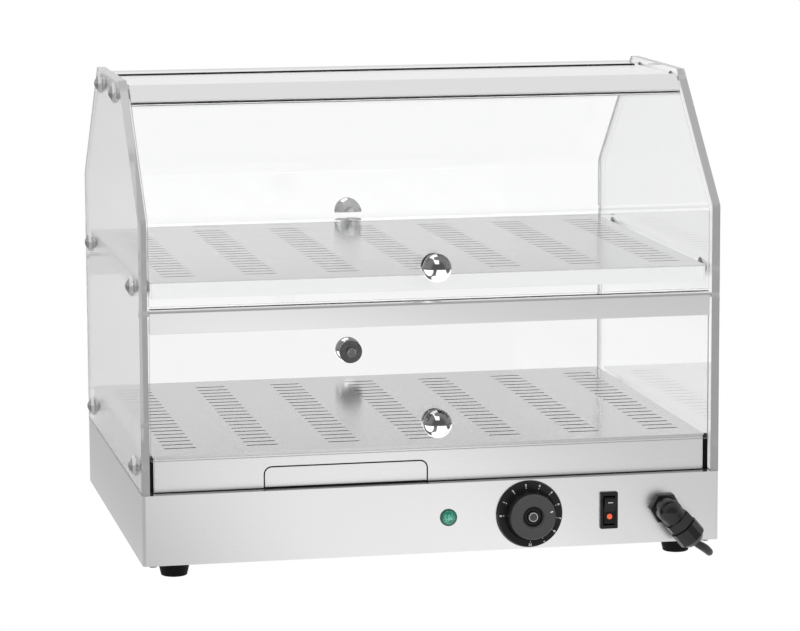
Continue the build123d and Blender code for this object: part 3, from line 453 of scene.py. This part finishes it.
def brushed(name, shade, rough_low, rough_high, depth=0.15):
    """Brushed steel, its grain long where the pattern's scale is low."""
    material, tree, shader = principled(name, (shade,) * 3, rough_low, 1.0)
    lines = grain(tree, BRUSHED_SCALE, 3.0)
    tree.links.new(ranged(tree, lines, rough_low, rough_high), shader.inputs["Roughness"])
    tinted(tree, shader, lines, (shade * 0.97,) * 3, (min(shade * 1.02, 1),) * 3)
    bumped(tree, shader, lines, BRUSHED_RELIEF, depth)
    return material


def plated(name, colour, roughness):
    """Smooth plated metal with faint wear."""
    material, tree, shader = principled(name, colour, roughness, 1.0)
    wear = grain(tree, WEAR_SCALE, 4)
    worn = ranged(tree, wear, roughness * 0.8, roughness * 1.4)
    tree.links.new(worn, shader.inputs["Roughness"])
    return material


# One steel in lit and shaded copies: the decks are painted darker, and the shelf frame, rails
# and roof lighter, than the case, as painted shade and painted light.
case_steel = brushed("case_steel", 0.78, 0.22, 0.30)
deck_steel_painted_shade = brushed("deck_steel_painted_shade", 0.63, 0.17, 0.2, depth=0.03)
frame_steel_painted_light = brushed("frame_steel_painted_light", 0.93, 0.20, 0.28)
rail_steel_painted_light = brushed("rail_steel_painted_light", 0.84, 0.18, 0.26)
roof_steel_painted_light = brushed("roof_steel_painted_light", 0.97, 0.16, 0.22)
tray_steel = brushed("tray_steel", 0.80, 0.28, 0.38)

# %% [markdown]
# A chromed ball mirrors the whole studio: a lamp window above, the white table below with a dark
# gap in it, and a dim room all round. Here that reflection is painted into the chrome's colour
# and glow: the mirrored direction picks the painted shade, and each patch is a span of that
# direction across the picture and up it.

# %% Chrome and other plating
WINDOW_ACROSS, WINDOW_UP = (-0.42, 0.12), (0.6, 0.93)
TABLE_ACROSS, TABLE_UP = (-2.0, 0.86), (-2.0, -0.19)
GAP_ACROSS, GAP_UP = (-0.64, -0.24), (-0.86, -0.1)
SOFT_END, TABLE_END = 0.04, 0.025
PAINTED_CHROME_GLOW = 0.65


def smooth_between(tree, value, span, soft=SOFT_END):
    """1 where the value is inside the span, 0 elsewhere, with soft ends."""
    low, high = span
    rising = ranged(tree, value, 0.0, 1.0, (low - soft, low + soft), smooth=True)
    falling = ranged(tree, value, 1.0, 0.0, (high - soft, high + soft), smooth=True)
    return combined(tree, "MULTIPLY", rising, falling)


def patch(tree, mirrored, across_span, up_span, up_soft=SOFT_END):
    """1 where the mirrored direction is inside both spans."""
    across = smooth_between(tree, mirrored["X"], across_span)
    up = smooth_between(tree, mirrored["Z"], up_span, up_soft)
    return combined(tree, "MULTIPLY", across, up)


# Painted reflection: the chrome's colour is light in the window and table patches and dark in
# the gap, and it glows where it is light.
chrome, tree, shader = principled("chrome", (0.9, 0.9, 0.91), 0.05, 1.0)
spot = tree.nodes.new("ShaderNodeTexCoord")
mirrored = parts_of(tree, spot.outputs["Reflection"])
painted_window = patch(tree, mirrored, WINDOW_ACROSS, WINDOW_UP)
painted_table = patch(tree, mirrored, TABLE_ACROSS, TABLE_UP, TABLE_END)
painted_gap = patch(tree, mirrored, GAP_ACROSS, GAP_UP)
lit = combined(tree, "MAXIMUM", painted_window, painted_table)
painted_reflection = combined(tree, "MAXIMUM", combined(tree, "SUBTRACT", lit, painted_gap), 0.0)
tinted(tree, shader, painted_reflection, (0.2, 0.2, 0.205), (1.0, 1.0, 1.0))
shader.inputs["Emission Color"].default_value = (1, 1, 1, 1)
glow = combined(tree, "MULTIPLY", painted_reflection, PAINTED_CHROME_GLOW)
tree.links.new(glow, shader.inputs["Emission Strength"])
screw_plate = plated("screw_plate", (0.36, 0.36, 0.355), 0.24)
pin_plate = plated("pin_plate", (0.72, 0.72, 0.72), 0.18)
plug_nickel = plated("plug_nickel", (0.78, 0.75, 0.70), 0.2)

# %% [markdown]
# Moulded parts have a fine pebble instead of a grain. The dial is one moulding, but its grip
# stands nearer to the viewer and looks paler in the photograph, so painted light makes its
# colour paler with the depth.

# %% Mouldings
PEBBLE_SCALE = (1800, 1800, 1800)
PEBBLE_RELIEF, PEBBLE_STRENGTH = 0.00001, 0.4
GRIP_FACE = (-0.2060, -0.2075)  # metres along Y
SKIRT_SHADE, GRIP_PAINTED_LIGHT = 0.008, 0.070


def moulded(name, shade, roughness, shine=0.5):
    """Moulded plastic or rubber with a fine pebble."""
    material, tree, shader = principled(name, (shade,) * 3, roughness)
    shader.inputs["Specular IOR Level"].default_value = shine
    spots = grain(tree, PEBBLE_SCALE, 2)
    varied = ranged(tree, spots, roughness * 0.85, roughness * 1.15)
    tree.links.new(varied, shader.inputs["Roughness"])
    bumped(tree, shader, spots, PEBBLE_RELIEF, PEBBLE_STRENGTH)
    return material


black_nylon = moulded("black_nylon", 0.007, 0.2, shine=0.45)
dial_black = moulded("dial_black", 0.006, 0.3, shine=0.22)
tree = dial_black.node_tree
# Painted light: the grip's colour is paler than the skirt's, more so nearer the front.
depth = parts_of(tree, object_place(tree))["Y"]
painted_paler_grip = ranged(tree, depth, 0.0, 1.0, GRIP_FACE)
tinted(tree, shader_of(dial_black), painted_paler_grip, (SKIRT_SHADE,) * 3, (GRIP_PAINTED_LIGHT,) * 3)
switch_black = moulded("switch_black", 0.006, 0.25, shine=0.3)
foot_rubber = moulded("foot_rubber", 0.004, 0.6, shine=0.15)
lead_rubber = moulded("lead_rubber", 0.022, 0.5)
spacer_nylon = moulded("spacer_nylon", 0.55, 0.5)
white_moulding = moulded("white_moulding", 0.72, 0.45)

# %% [markdown]
# Clear acrylic is hard to light. Real refraction gives the bright lines along its edges, but a
# renderer treats it as a wall for shadows, so everything inside would go dark. For shadow rays
# the sheet turns into a faint tint instead. The sawn and polished edges look mid grey in the
# photograph, because they gather light from the whole sheet, so faces that point along the
# sheet's own plane get a painted grey: painted light that stands in for what the edge gathers.
# The bent door in front refracts too. The other three doors are seen almost square on and shift
# little of what lies behind them, so a tint, a mirror and the same painted grey on their edges
# are enough there.

# %% Clear sheets
ACRYLIC_IOR = 1.49
SHADOW_SHARE = 0.96
PANEL_TINT, BENT_TINT = (0.945, 0.95, 0.948), (0.955, 0.96, 0.958)
PANEL_EDGE, PANEL_EDGE_SHADE, PANEL_EDGE_SHARE = 0.5, 0.54, 0.68
DOOR_TINT = 0.985
DOOR_EDGE, DOOR_EDGE_SHADE, DOOR_EDGE_SHARE = 0.6, 0.35, 0.75


def refracting(tree, tint):
    """A clear body that bends light, but only dims shadow rays and diffuse rays."""
    glass = tree.nodes.new("ShaderNodeBsdfPrincipled")
    glass.inputs["Base Color"].default_value = (*tint, 1)
    glass.inputs["Roughness"].default_value = 0.0
    glass.inputs["IOR"].default_value = ACRYLIC_IOR
    glass.inputs["Transmission Weight"].default_value = 1.0
    clear = tree.nodes.new("ShaderNodeBsdfTransparent")
    clear.inputs["Color"].default_value = (*(SHADOW_SHARE * c for c in tint), 1)
    return mixed(tree, ray_share(tree, "Shadow", "Diffuse"), glass, clear)


def edge_share(tree, geometry, axis, limit):
    """1 on a sheet's edges, whose normals turn away from its thin axis, and 0 elsewhere."""
    along = combined(tree, "ABSOLUTE", parts_of(tree, geometry.outputs["True Normal"])[axis])
    return combined(tree, "LESS_THAN", along, limit)


def edge_skin(tree, shade, roughness):
    """A painted grey for the light that a sawn edge gathers."""
    painted_edge = tree.nodes.new("ShaderNodeBsdfPrincipled")
    painted_edge.inputs["Base Color"].default_value = (shade,) * 3 + (1,)
    painted_edge.inputs["Roughness"].default_value = roughness
    return painted_edge


panel_clear, tree, output = shader_tree("panel_clear")
geometry = tree.nodes.new("ShaderNodeNewGeometry")
edges = edge_share(tree, geometry, "X", PANEL_EDGE)
share = combined(tree, "MULTIPLY", edges, PANEL_EDGE_SHARE)
painted_edge = edge_skin(tree, PANEL_EDGE_SHADE, 0.25)
panel = mixed(tree, share, refracting(tree, PANEL_TINT), painted_edge)
tree.links.new(panel.outputs[0], output.inputs["Surface"])

door_clear, tree, output = shader_tree("door_clear")
through = tree.nodes.new("ShaderNodeBsdfTransparent")
through.inputs["Color"].default_value = (*(DOOR_TINT,) * 3, 1)
shine = tree.nodes.new("ShaderNodeBsdfGlossy")
shine.inputs["Roughness"].default_value = 0.0
fresnel = tree.nodes.new("ShaderNodeFresnel")
fresnel.inputs["IOR"].default_value = ACRYLIC_IOR
geometry = tree.nodes.new("ShaderNodeNewGeometry")
outside = combined(tree, "SUBTRACT", 1.0, geometry.outputs["Backfacing"])
mirror_share = combined(tree, "MULTIPLY", fresnel.outputs[0], outside)
sheet = mixed(tree, mirror_share, through, shine)
painted_edge = edge_skin(tree, DOOR_EDGE_SHADE, 0.3)
painted_edge.inputs["Alpha"].default_value = DOOR_EDGE_SHARE
door = mixed(tree, edge_share(tree, geometry, "Y", DOOR_EDGE), sheet, painted_edge)
tree.links.new(door.outputs[0], output.inputs["Surface"])

bent_clear, tree, output = shader_tree("bent_clear")
tree.links.new(refracting(tree, BENT_TINT).outputs[0], output.inputs["Surface"])

# %% [markdown]
# The lamp and the switch have small coloured lenses with a little light of their own. The lamp's
# is cut into cells, and its colour is painted lighter in the cells and towards the middle as
# painted glints, so that it glitters. Its dark rim, the white print, the heater and the copper
# end the list.

# %% Lenses and the last finishes
RED_NOISE_SCALE = (700, 700, 700)
RED_NOISE_DARK, RED_NOISE_LIGHT = 0.75, 1.3
CELL_SCALE = 620
LENS_MIDDLE = (0.0115, 0.0, 0.0442)  # metres
LENS_REACH = 0.0062
MIDDLE_PAINTED_LIGHT = 0.62
CELL_LOW, CELL_HIGH = 0.5, -0.75


def lens_colour(name, colour, glow):
    """A coloured clear lens with a little light of its own."""
    material, tree, shader = principled(name, colour, 0.12)
    shader.inputs["Coat Weight"].default_value = 0.6
    shader.inputs["Emission Color"].default_value = (*colour, 1)
    shader.inputs["Emission Strength"].default_value = glow
    return material, tree, shader


green_lens, tree, shader = lens_colour("green_lens", (0.02, 0.42, 0.28), 0.12)
spot = object_place(tree)
cells = tree.nodes.new("ShaderNodeTexVoronoi")
cells.inputs["Scale"].default_value = CELL_SCALE
tree.links.new(spot, cells.inputs["Vector"])
away = tree.nodes.new("ShaderNodeVectorMath")
away.operation = "SUBTRACT"
away.inputs[1].default_value = LENS_MIDDLE
tree.links.new(spot, away.inputs[0])
flat = tree.nodes.new("ShaderNodeVectorMath")
flat.operation = "MULTIPLY"
flat.inputs[1].default_value = (1, 0, 1)
tree.links.new(away.outputs[0], flat.inputs[0])
reach = tree.nodes.new("ShaderNodeVectorMath")
reach.operation = "LENGTH"
tree.links.new(flat.outputs[0], reach.inputs[0])
# Painted light: the lens's colour is lighter towards its middle and in its cells.
painted_light_to_rim = ranged(tree, reach.outputs["Value"], MIDDLE_PAINTED_LIGHT, 0.0, (0.0, LENS_REACH))
painted_cell_light = ranged(tree, cells.outputs["Distance"], CELL_LOW, CELL_HIGH)
painted_glitter = combined(tree, "ADD", painted_light_to_rim, painted_cell_light)
tinted(tree, shader, painted_glitter, (0.0, 0.13, 0.075), (0.25, 0.85, 0.66))

# A fine noise makes the red lens's colour lighter and darker in places.
RED = (0.75, 0.09, 0.03)
red_lens, tree, shader = lens_colour("red_lens", RED, 0.5)
dark_red = tuple(RED_NOISE_DARK * c for c in RED)
light_red = tuple(min(1, RED_NOISE_LIGHT * c) for c in RED)
tinted(tree, shader, grain(tree, RED_NOISE_SCALE, 1), dark_red, light_red)

lens_rim = moulded("lens_rim", 0.01, 0.2)
shader_of(lens_rim).inputs["Base Color"].default_value = (0.0, 0.09, 0.055, 1)
white_print = principled("white_print", (0.85, 0.85, 0.85), 0.5)[0]
heater_tint = plated("heater_tint", (0.35, 0.32, 0.30), 0.35)
bare_copper = plated("bare_copper", (0.75, 0.45, 0.3), 0.25)
print("finishes ready")

# %% [markdown]
# Sheet metal and mouldings never have knife edges, and the thin bright line along an
# edge is what makes metal read as metal. The frame's meshes are exact but sharp, so each
# visible piece is copied, its loose triangles are merged back into flat faces, and its
# sharp edges get a small bevel. The copy then stands in for the frame's own piece.

# %% Rounded edges
EDGE_ANGLE = 30.0
FACET_ANGLE = 18.0
FLAT_ANGLE = 1.0
MERGE_DISTANCE = 1e-6
BEVEL_STEPS = 2
BIG_FACES_WIN = 100
body_of_node = {n: b for b, ns in frame["record"]["behaviour"]["bodies"].items() for n in ns}


def flat_shaded(piece, angle):
    """Smooth over small turns, while each large face keeps its own flat light."""
    pick(piece)
    bpy.ops.object.shade_smooth_by_angle(angle=math.radians(angle))
    weighted = piece.modifiers.new("normals", "WEIGHTED_NORMAL")
    weighted.keep_sharp = True
    weighted.weight = BIG_FACES_WIN
    bpy.ops.object.modifier_apply(modifier=weighted.name)


def rounded(node, material, width, angle):
    """A copy of a frame piece with its sharp edges bevelled, in its place."""
    source = nodes[node]
    mesh = bmesh.new()
    mesh.from_mesh(source.data)
    mesh.transform(source.matrix_world)
    bmesh.ops.remove_doubles(mesh, verts=mesh.verts, dist=MERGE_DISTANCE)
    bmesh.ops.dissolve_limit(
        mesh, angle_limit=math.radians(FLAT_ANGLE), verts=mesh.verts, edges=mesh.edges
    )
    data = bpy.data.meshes.new(node + "_finished")
    mesh.to_mesh(data)
    mesh.free()
    piece = bpy.data.objects.new(node + "_finished", data)
    scene.collection.objects.link(piece)
    data.materials.append(material)
    pick(piece)
    bevel = piece.modifiers.new("edges", "BEVEL")
    bevel.width = width * MM
    bevel.segments = BEVEL_STEPS
    bevel.limit_method = "ANGLE"
    bevel.angle_limit = math.radians(angle)
    bevel.use_clamp_overlap = True
    bpy.ops.object.modifier_apply(modifier=bevel.name)
    flat_shaded(piece, angle)
    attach(piece, body_of_node[node])
    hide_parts(node)


# Each piece's finish, and the width of its bevel in mm.
finish_of = {
    "base_housing": (case_steel, 0.5),
    "drawer_front": (case_steel, 0.35),
    "deck_frame": (case_steel, 0.3),
    "shelf_frame": (frame_steel_painted_light, 0.3),
    "roof_panel": (roof_steel_painted_light, 0.4),
    "side_panel_left": (panel_clear, 0.3),
    "side_panel_right": (panel_clear, 0.3),
    "cup_washers": (pin_plate, 0.2),
    "rubber_feet": (foot_rubber, 0.6),
    "switch_body": (switch_black, 0.2),
    "switch_rocker": (switch_black, 0.2),
    "thermostat_knob": (dial_black, 0.4),
    "gland_elbow": (black_nylon, 0.5),
    "gland_cap": (black_nylon, 0.4),
    "lamp_bezel": (lens_rim, 0.1),
}
for side in ("front", "rear"):
    for level in ("upper", "lower"):
        finish_of[f"{level}_{side}_rail"] = (rail_steel_painted_light, 0.35)
        finish_of[f"{level}_{side}_door"] = (door_clear, 0.25)
finish_of["upper_front_door"] = (bent_clear, 0.25)
for node, (material, width) in finish_of.items():
    rounded(node, material, width, FACET_ANGLE if node.startswith("gland") else EDGE_ANGLE)

# %% [markdown]
# Everything else keeps its exact mesh and only gets its finish.

# %% Finishes of the pieces that stay
plain_finish = {
    "lower_deck": deck_steel_painted_shade,
    "upper_shelf": deck_steel_painted_shade,
    "bottom_plate": case_steel,
    "drawer_tray": tray_steel,
    "drawer_guides": tray_steel,
    "panel_screws": screw_plate,
    "panel_nuts": screw_plate,
    "panel_spacers": spacer_nylon,
    "foot_screws": screw_plate,
    "plate_screws": screw_plate,
    "lamp_body": switch_black,
    "thermostat_body": screw_plate,
    "gland_locknut": black_nylon,
    "gland_seal": lead_rubber,
    "plug_body": lead_rubber,
    "plug_pins": plug_nickel,
    "heating_element": heater_tint,
    "heater_brackets": tray_steel,
    "thermostat_capillary": bare_copper,
    "terminal_block": white_moulding,
}
for side in ("front", "rear"):
    for level in ("upper", "lower"):
        plain_finish[f"{level}_{side}_knob"] = chrome
        plain_finish[f"{level}_{side}_knob_screw"] = screw_plate
        plain_finish[f"{level}_{side}_pins"] = pin_plate
for node, material in plain_finish.items():
    piece = nodes[node]
    if not piece.material_slots:
        piece.data.materials.append(material)
    for holder in piece.material_slots:
        holder.material = material
mains_lead.data.materials.append(lead_rubber)
print("finished pieces", len(finish_of) + len(plain_finish))

# %% [markdown]
# The dial carries a ring of dots numbered 0 to 10. Each mark is laid on the real surface:
# a ray from in front of the case finds the point and the slope under it, and the mark is
# placed there, turned to that slope. Half of its thickness sinks in, and the other half
# stands out like a coat of ink.

# %% Marks on the dial and the switch
INK = 0.12
MARKS = 11
FIRST_ANGLE, MARK_STEP = 180.0, 27.0
DIAL_CENTRE = (82.0, 44.2)
DOT_RING, DOT_RADIUS = 23.5, 0.38
DIGIT_RING, DIGIT_SIZE, DIGIT_BOLD = 25.9, 3.0, 0.09
INDEX_RING, INDEX_ANGLE, INDEX_SIZE = 16.2, 15.0, (2.6, 0.9)
HUB_RADIUS, HUB_LINE = 3.6, 0.22
SWITCH_CENTRE = (152.0, 44.2)
BAR_RISE, BAR_SIZE = 7.6, (4.4, 0.8)
RED_FALL, RED_SIZE = 5.0, (2.4, 2.4, 1.0)
surfaces = {}


def surface_at(node, x, z):
    """Where a ray from the front meets this frame piece at x, z in mm, and its normal."""
    if node not in surfaces:
        piece = nodes[node]
        corners = [piece.matrix_world @ v.co for v in piece.data.vertices]
        faces = [face.vertices for face in piece.data.polygons]
        surfaces[node] = BVHTree.FromPolygons(corners, faces)
    start, way = Vector((x * MM, -1.0, z * MM)), Vector((0, 1, 0))
    place, normal, _, _ = surfaces[node].ray_cast(start, way)
    if place is None:
        raise ValueError(f"{node} isn't at {x}, {z}")
    return place, normal


def lay_mark(piece, node, x, z, spin=0.0, material=white_print):
    """The mark drawn in its own XY plane goes onto the piece, its Y axis up."""
    place, normal = surface_at(node, x, z)
    side = Vector((0, 0, 1)).cross(normal).normalized()
    rise = normal.cross(side)
    turn = Matrix((side, rise, normal)).transposed().to_4x4()
    piece.matrix_world = Matrix.Translation(place) @ turn @ Matrix.Rotation(spin, 4, "Z")
    settle(piece)
    piece.data.materials.clear()
    piece.data.materials.append(material)
    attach(piece, body_of_node[node])


def dial_spot(radius, angle):
    """A place on the dial's face at this radius in mm and angle in degrees."""
    turn = math.radians(angle)
    return DIAL_CENTRE[0] + radius * math.cos(turn), DIAL_CENTRE[1] + radius * math.sin(turn)


def printed_bar(name, node, x, z, size, spin=0.0):
    """A small printed bar."""
    bpy.ops.mesh.primitive_cube_add(size=1)
    bar = named(name)
    bar.scale = (size[0] * MM, size[1] * MM, 2 * INK * MM)
    settle(bar)
    lay_mark(bar, node, x, z, spin)


for mark in range(MARKS):
    angle = FIRST_ANGLE - MARK_STEP * mark
    bpy.ops.mesh.primitive_cylinder_add(vertices=16, radius=DOT_RADIUS * MM, depth=2 * INK * MM)
    lay_mark(named(f"dial_dot_{mark}"), "thermostat_knob", *dial_spot(DOT_RING, angle))
    bpy.ops.object.text_add()
    digit = named(f"dial_digit_{mark}")
    digit.data.body = str(mark)
    digit.data.size = DIGIT_SIZE * MM
    digit.data.extrude = INK * MM
    digit.data.offset = DIGIT_BOLD * MM
    digit.data.align_x = "CENTER"
    digit.data.align_y = "CENTER"
    bpy.ops.object.convert(target="MESH")
    spin = math.radians(angle - 90.0)
    lay_mark(bpy.context.object, "thermostat_knob", *dial_spot(DIGIT_RING, angle), spin)

x, z = dial_spot(INDEX_RING, INDEX_ANGLE)
printed_bar("dial_index", "thermostat_knob", x, z, INDEX_SIZE, math.radians(INDEX_ANGLE))
bpy.ops.mesh.primitive_torus_add(
    major_radius=HUB_RADIUS * MM, minor_radius=HUB_LINE * MM, major_segments=48, minor_segments=8
)
lay_mark(named("dial_hub_ring"), "thermostat_knob", *DIAL_CENTRE)
x, z = SWITCH_CENTRE
printed_bar("switch_bar", "switch_rocker", x, z + BAR_RISE, BAR_SIZE)
bpy.ops.mesh.primitive_uv_sphere_add(segments=32, ring_count=16, radius=1)
red_dome = named("switch_lens")
red_dome.scale = [size * MM for size in RED_SIZE]
settle(red_dome)
lay_mark(red_dome, "switch_rocker", x, z - RED_FALL, material=red_lens)
bpy.ops.object.shade_smooth()
print("marks", 2 * MARKS + 4)

# %% [markdown]
# The lamp's lens is cut in facets, so that it glitters. A sphere of triangles, flattened
# and left flat shaded, is just that.

# %% Lamp lens
lens_low, lens_high = (Vector(corner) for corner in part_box("lamp_lens"))
lens_half = (lens_high - lens_low) / 2
bpy.ops.mesh.primitive_ico_sphere_add(subdivisions=3, radius=1)
lens = named("lamp_facets")
lens.scale = (lens_half.x, lens_half.y, lens_half.x)
lens.location = (lens_low + lens_high) / 2
settle(lens)
lens.data.materials.append(green_lens)
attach(lens, "case")
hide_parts("lamp_lens")

# %% [markdown]
# Dark strips stand in the small gaps as painted shadow: a strip under the deck's frame, a pad at
# each end of it and a lip in the roof's slot. They draw the thin black lines of shade that make
# the edges read.


# %% Painted shadow strips
def strip(name, low, high):
    """A dark box between two corners in mm, painted shadow in a gap."""
    bpy.ops.mesh.primitive_cube_add(size=1)
    piece = named(name)
    low, high = Vector(low) * MM, Vector(high) * MM
    piece.scale = high - low
    piece.location = (low + high) / 2
    settle(piece)
    piece.data.materials.append(foot_rubber)
    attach(piece, "case")


strip("deck_shadow_line", (-239.0, -181.8, 74.0), (239.0, -180.6, 74.7))
strip("deck_end_shadow_-1", (-242.9, -181.4, 74.1), (-239.6, -176.0, 104.8))
strip("deck_end_shadow_1", (239.6, -181.4, 74.1), (242.9, -176.0, 104.8))
strip("roof_slot_shadow", (-236.0, 37.0, 405.6), (236.0, 43.0, 407.8))
